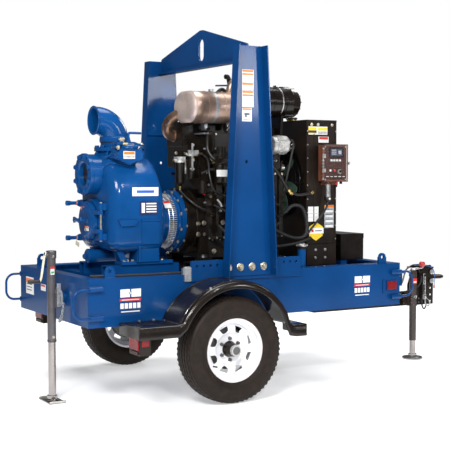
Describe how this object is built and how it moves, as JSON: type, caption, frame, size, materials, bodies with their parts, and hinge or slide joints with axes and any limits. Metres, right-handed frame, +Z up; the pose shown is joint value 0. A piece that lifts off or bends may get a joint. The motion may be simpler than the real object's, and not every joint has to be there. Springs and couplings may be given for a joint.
{
  "type": "trailer-mounted self-priming trash pump",
  "caption": "Engine-driven self-priming trash pump on a single-axle road trailer with a lifting bail, screw jacks, a lunette hitch and a control box.",
  "frame": {"origin": "centre of the footprint's bounding box, on the ground under the tyres and jack feet", "axes": "+X along the trailer from the pump end to the hitch, +Y across it towards the side away from the control box, +Z up"},
  "size_m": [3.623, 1.812, 2.48],
  "materials": {
    "frame_blue": "gloss",
    "loop_navy": "gloss",
    "chassis_black": "gloss",
    "hitch_black": "satin",
    "cap_steel": "brushed",
    "fender_black": "gloss",
    "lamp_red": "gloss",
    "tyre": "matte",
    "wheel_silver": "satin",
    "jack_grey": "satin",
    "crank_cream": "satin",
    "crank_red": "satin",
    "chain_zinc": "bright",
    "bolt_zinc": "plated",
    "pump_blue": "gloss over casting",
    "flap_rubber": "matte",
    "impeller_iron": "raw",
    "shaft_steel": "turned",
    "engine_black": "satin",
    "muffler_steel": "heat tinted",
    "cleaner_black": "satin",
    "filter_silver": "cast",
    "alternator_silver": "cast",
    "pulley_black": "satin",
    "fan_plastic": "satin",
    "rubber_black": "matte",
    "radiator_black": "satin",
    "box_brown": "satin",
    "door_clear": "clear",
    "button_white": "satin",
    "key_steel": "polished",
    "battery_black": "grained"
  },
  "bodies": {
    "chassis": {"side_beams": "frame_blue", "cross_beams": "frame_blue", "fuel_tank": "frame_blue", "tongue": "chassis_black", "hitch_bracket": "hitch_black", "lunette_eye": "hitch_black", "axle": "chassis_black", "fenders": "fender_black", "corner_loops": "loop_navy", "lamps": "lamp_red", "bail_plate": "frame_blue", "uprights": "frame_blue", "side_plates": "frame_blue", "bolts": "bolt_zinc", "pump_casing": "pump_blue", "suction_flange": "pump_blue", "discharge_flange": "pump_blue", "discharge_elbow": "pump_blue", "pump_bracket": "pump_blue", "engine_block": "engine_black", "cylinder_head": "engine_black", "muffler": "muffler_steel", "air_cleaner": "cleaner_black", "fuel_filters": "filter_silver", "alternator": "alternator_silver", "fan_belt": "rubber_black", "radiator": "radiator_black", "hoses": "rubber_black", "control_box": "box_brown", "battery_box": "battery_black", "battery": "battery_black"},
    "wheel_near": {"tyre_near": "tyre", "wheel_near": "wheel_silver"},
    "wheel_far": {"tyre_far": "tyre", "wheel_far": "wheel_silver"},
    "shaft": {"drive_shaft": "shaft_steel", "impeller": "impeller_iron"},
    "fan": {"fan": "fan_plastic"},
    "alternator_rotor": {"alternator_pulley": "pulley_black"},
    "flap_valve": {"flap_valve": "flap_rubber"},
    "cleanout_cover": {"cleanout_cover": "pump_blue"},
    "knob_upper": {"knob_upper": "pump_blue"},
    "knob_lower": {"knob_lower": "pump_blue"},
    "fill_cover": {"fill_cover": "pump_blue"},
    "fill_screw": {"fill_screw": "pump_blue"},
    "fuel_cap": {"fuel_cap": "cap_steel"},
    "rear_jack_tube": {"rear_jack_tube": "jack_grey"},
    "rear_jack_leg": {"rear_jack_leg": "jack_grey"},
    "rear_jack_crank": {"rear_jack_crank": "crank_cream"},
    "front_jack_tube": {"front_jack_tube": "jack_grey"},
    "front_jack_leg": {"front_jack_leg": "jack_grey"},
    "front_jack_crank": {"front_jack_crank": "crank_red"},
    "control_door": {"control_door": "door_clear"},
    "button_1": {"button_1": "button_white"},
    "button_2": {"button_2": "button_white"},
    "button_3": {"button_3": "button_white"},
    "button_4": {"button_4": "button_white"},
    "key_switch": {"key_switch": "key_steel"},
    "battery_lid": {"battery_lid": "battery_black"},
    "safety_chain": {"safety_chain": "chain_zinc"}
  },
  "joints": [
    {"name": "wheel_near_spin", "type": "hinge", "parent": "chassis", "child": "wheel_near", "pos_m": [-0.6735, -0.787, 0.344], "axis": [0, 1, 0], "continuous": true},
    {"name": "wheel_far_spin", "type": "hinge", "parent": "chassis", "child": "wheel_far", "pos_m": [-0.6735, 0.787, 0.344], "axis": [0, 1, 0], "continuous": true},
    {"name": "shaft_spin", "type": "hinge", "parent": "chassis", "child": "shaft", "pos_m": [-0.4715, 0, 1.14], "axis": [1, 0, 0], "continuous": true},
    {"name": "fan_spin", "type": "hinge", "parent": "chassis", "child": "fan", "pos_m": [0.1445, 0, 1.4], "axis": [1, 0, 0], "continuous": true},
    {"name": "alternator_spin", "type": "hinge", "parent": "chassis", "child": "alternator_rotor", "pos_m": [0.1445, -0.262, 1.672], "axis": [1, 0, 0], "continuous": true},
    {"name": "flap_valve_swing", "type": "hinge", "parent": "chassis", "child": "flap_valve", "pos_m": [-1.3005, 0, 1.553], "axis": [0, -1, 0], "range_deg": [0, 45]},
    {"name": "cleanout_cover_swing", "type": "hinge", "parent": "chassis", "child": "cleanout_cover", "pos_m": [-1.2995, -0.186, 1.151], "axis": [0, 0, 1], "range_deg": [0, 110]},
    {"name": "knob_upper_turn", "type": "hinge", "parent": "cleanout_cover", "child": "knob_upper", "pos_m": [-1.3715, 0.122, 1.269], "axis": [1, 0, 0], "continuous": true},
    {"name": "knob_lower_turn", "type": "hinge", "parent": "cleanout_cover", "child": "knob_lower", "pos_m": [-1.3715, 0.122, 1.033], "axis": [1, 0, 0], "continuous": true},
    {"name": "fill_cover_lift", "type": "hinge", "parent": "chassis", "child": "fill_cover", "pos_m": [-1.2055, -0.212, 1.641], "axis": [0, -1, 0], "range_deg": [0, 100]},
    {"name": "fill_screw_turn", "type": "hinge", "parent": "fill_cover", "child": "fill_screw", "pos_m": [-1.1095, -0.212, 1.7], "axis": [0, 0, 1], "continuous": true},
    {"name": "fuel_cap_turn", "type": "hinge", "parent": "chassis", "child": "fuel_cap", "pos_m": [0.1085, -0.468, 0.96], "axis": [0, 0, 1], "continuous": true},
    {"name": "rear_jack_swivel", "type": "hinge", "parent": "chassis", "child": "rear_jack_tube", "pos_m": [-1.6515, -0.197, 0.67], "axis": [1, 0, 0], "range_deg": [0, 90]},
    {"name": "rear_jack_crank_turn", "type": "hinge", "parent": "rear_jack_tube", "child": "rear_jack_crank", "pos_m": [-1.6875, -0.197, 0.951], "axis": [1, 0, 0], "range_deg": [-1440, 2880]},
    {"name": "rear_jack_leg_slide", "type": "slide", "parent": "rear_jack_tube", "child": "rear_jack_leg", "axis": [0, 0, 1], "range_m": [-0.102, 0.203]},
    {"name": "front_jack_swivel", "type": "hinge", "parent": "chassis", "child": "front_jack_tube", "pos_m": [1.3965, -0.138, 0.465], "axis": [0, 1, 0], "range_deg": [0, 90]},
    {"name": "front_jack_crank_turn", "type": "hinge", "parent": "front_jack_tube", "child": "front_jack_crank", "pos_m": [1.3965, -0.138, 0.715], "axis": [0, 0, 1], "range_deg": [-2880, 1440]},
    {"name": "front_jack_leg_slide", "type": "slide", "parent": "front_jack_tube", "child": "front_jack_leg", "axis": [0, 0, 1], "range_m": [-0.203, 0.102]},
    {"name": "control_door_swing", "type": "hinge", "parent": "chassis", "child": "control_door", "pos_m": [0.3395, -0.394, 1.54], "axis": [0, 0, -1], "range_deg": [0, 110]},
    {"name": "button_1_press", "type": "slide", "parent": "chassis", "child": "button_1", "axis": [0, 1, 0], "range_m": [0, 0.003], "stiffness_N_per_m": 400, "springref_m": -0.003},
    {"name": "button_2_press", "type": "slide", "parent": "chassis", "child": "button_2", "axis": [0, 1, 0], "range_m": [0, 0.003], "stiffness_N_per_m": 400, "springref_m": -0.003},
    {"name": "button_3_press", "type": "slide", "parent": "chassis", "child": "button_3", "axis": [0, 1, 0], "range_m": [0, 0.003], "stiffness_N_per_m": 400, "springref_m": -0.003},
    {"name": "button_4_press", "type": "slide", "parent": "chassis", "child": "button_4", "axis": [0, 1, 0], "range_m": [0, 0.003], "stiffness_N_per_m": 400, "springref_m": -0.003},
    {"name": "key_switch_turn", "type": "hinge", "parent": "chassis", "child": "key_switch", "pos_m": [0.4865, -0.392, 1.482], "axis": [0, 1, 0], "range_deg": [0, 90]},
    {"name": "battery_lid_lift", "type": "hinge", "parent": "chassis", "child": "battery_lid", "pos_m": [0.8615, 0, 1.002], "axis": [0, 1, 0], "range_deg": [0, 95]},
    {"name": "safety_chain_swing", "type": "hinge", "parent": "chassis", "child": "safety_chain", "pos_m": [1.5625, -0.083, 0.65], "axis": [0, 1, 0], "range_deg": [-30, 30]}
  ],
  "couplings": [
    {"joint": "fan_spin", "follows": "shaft_spin", "ratio": 1.1875},
    {"joint": "alternator_spin", "follows": "shaft_spin", "ratio": 2.5},
    {"joint": "rear_jack_leg_slide", "follows": "rear_jack_crank_turn", "m_per_rad": 0.004},
    {"joint": "front_jack_leg_slide", "follows": "front_jack_crank_turn", "m_per_rad": 0.004}
  ]
}
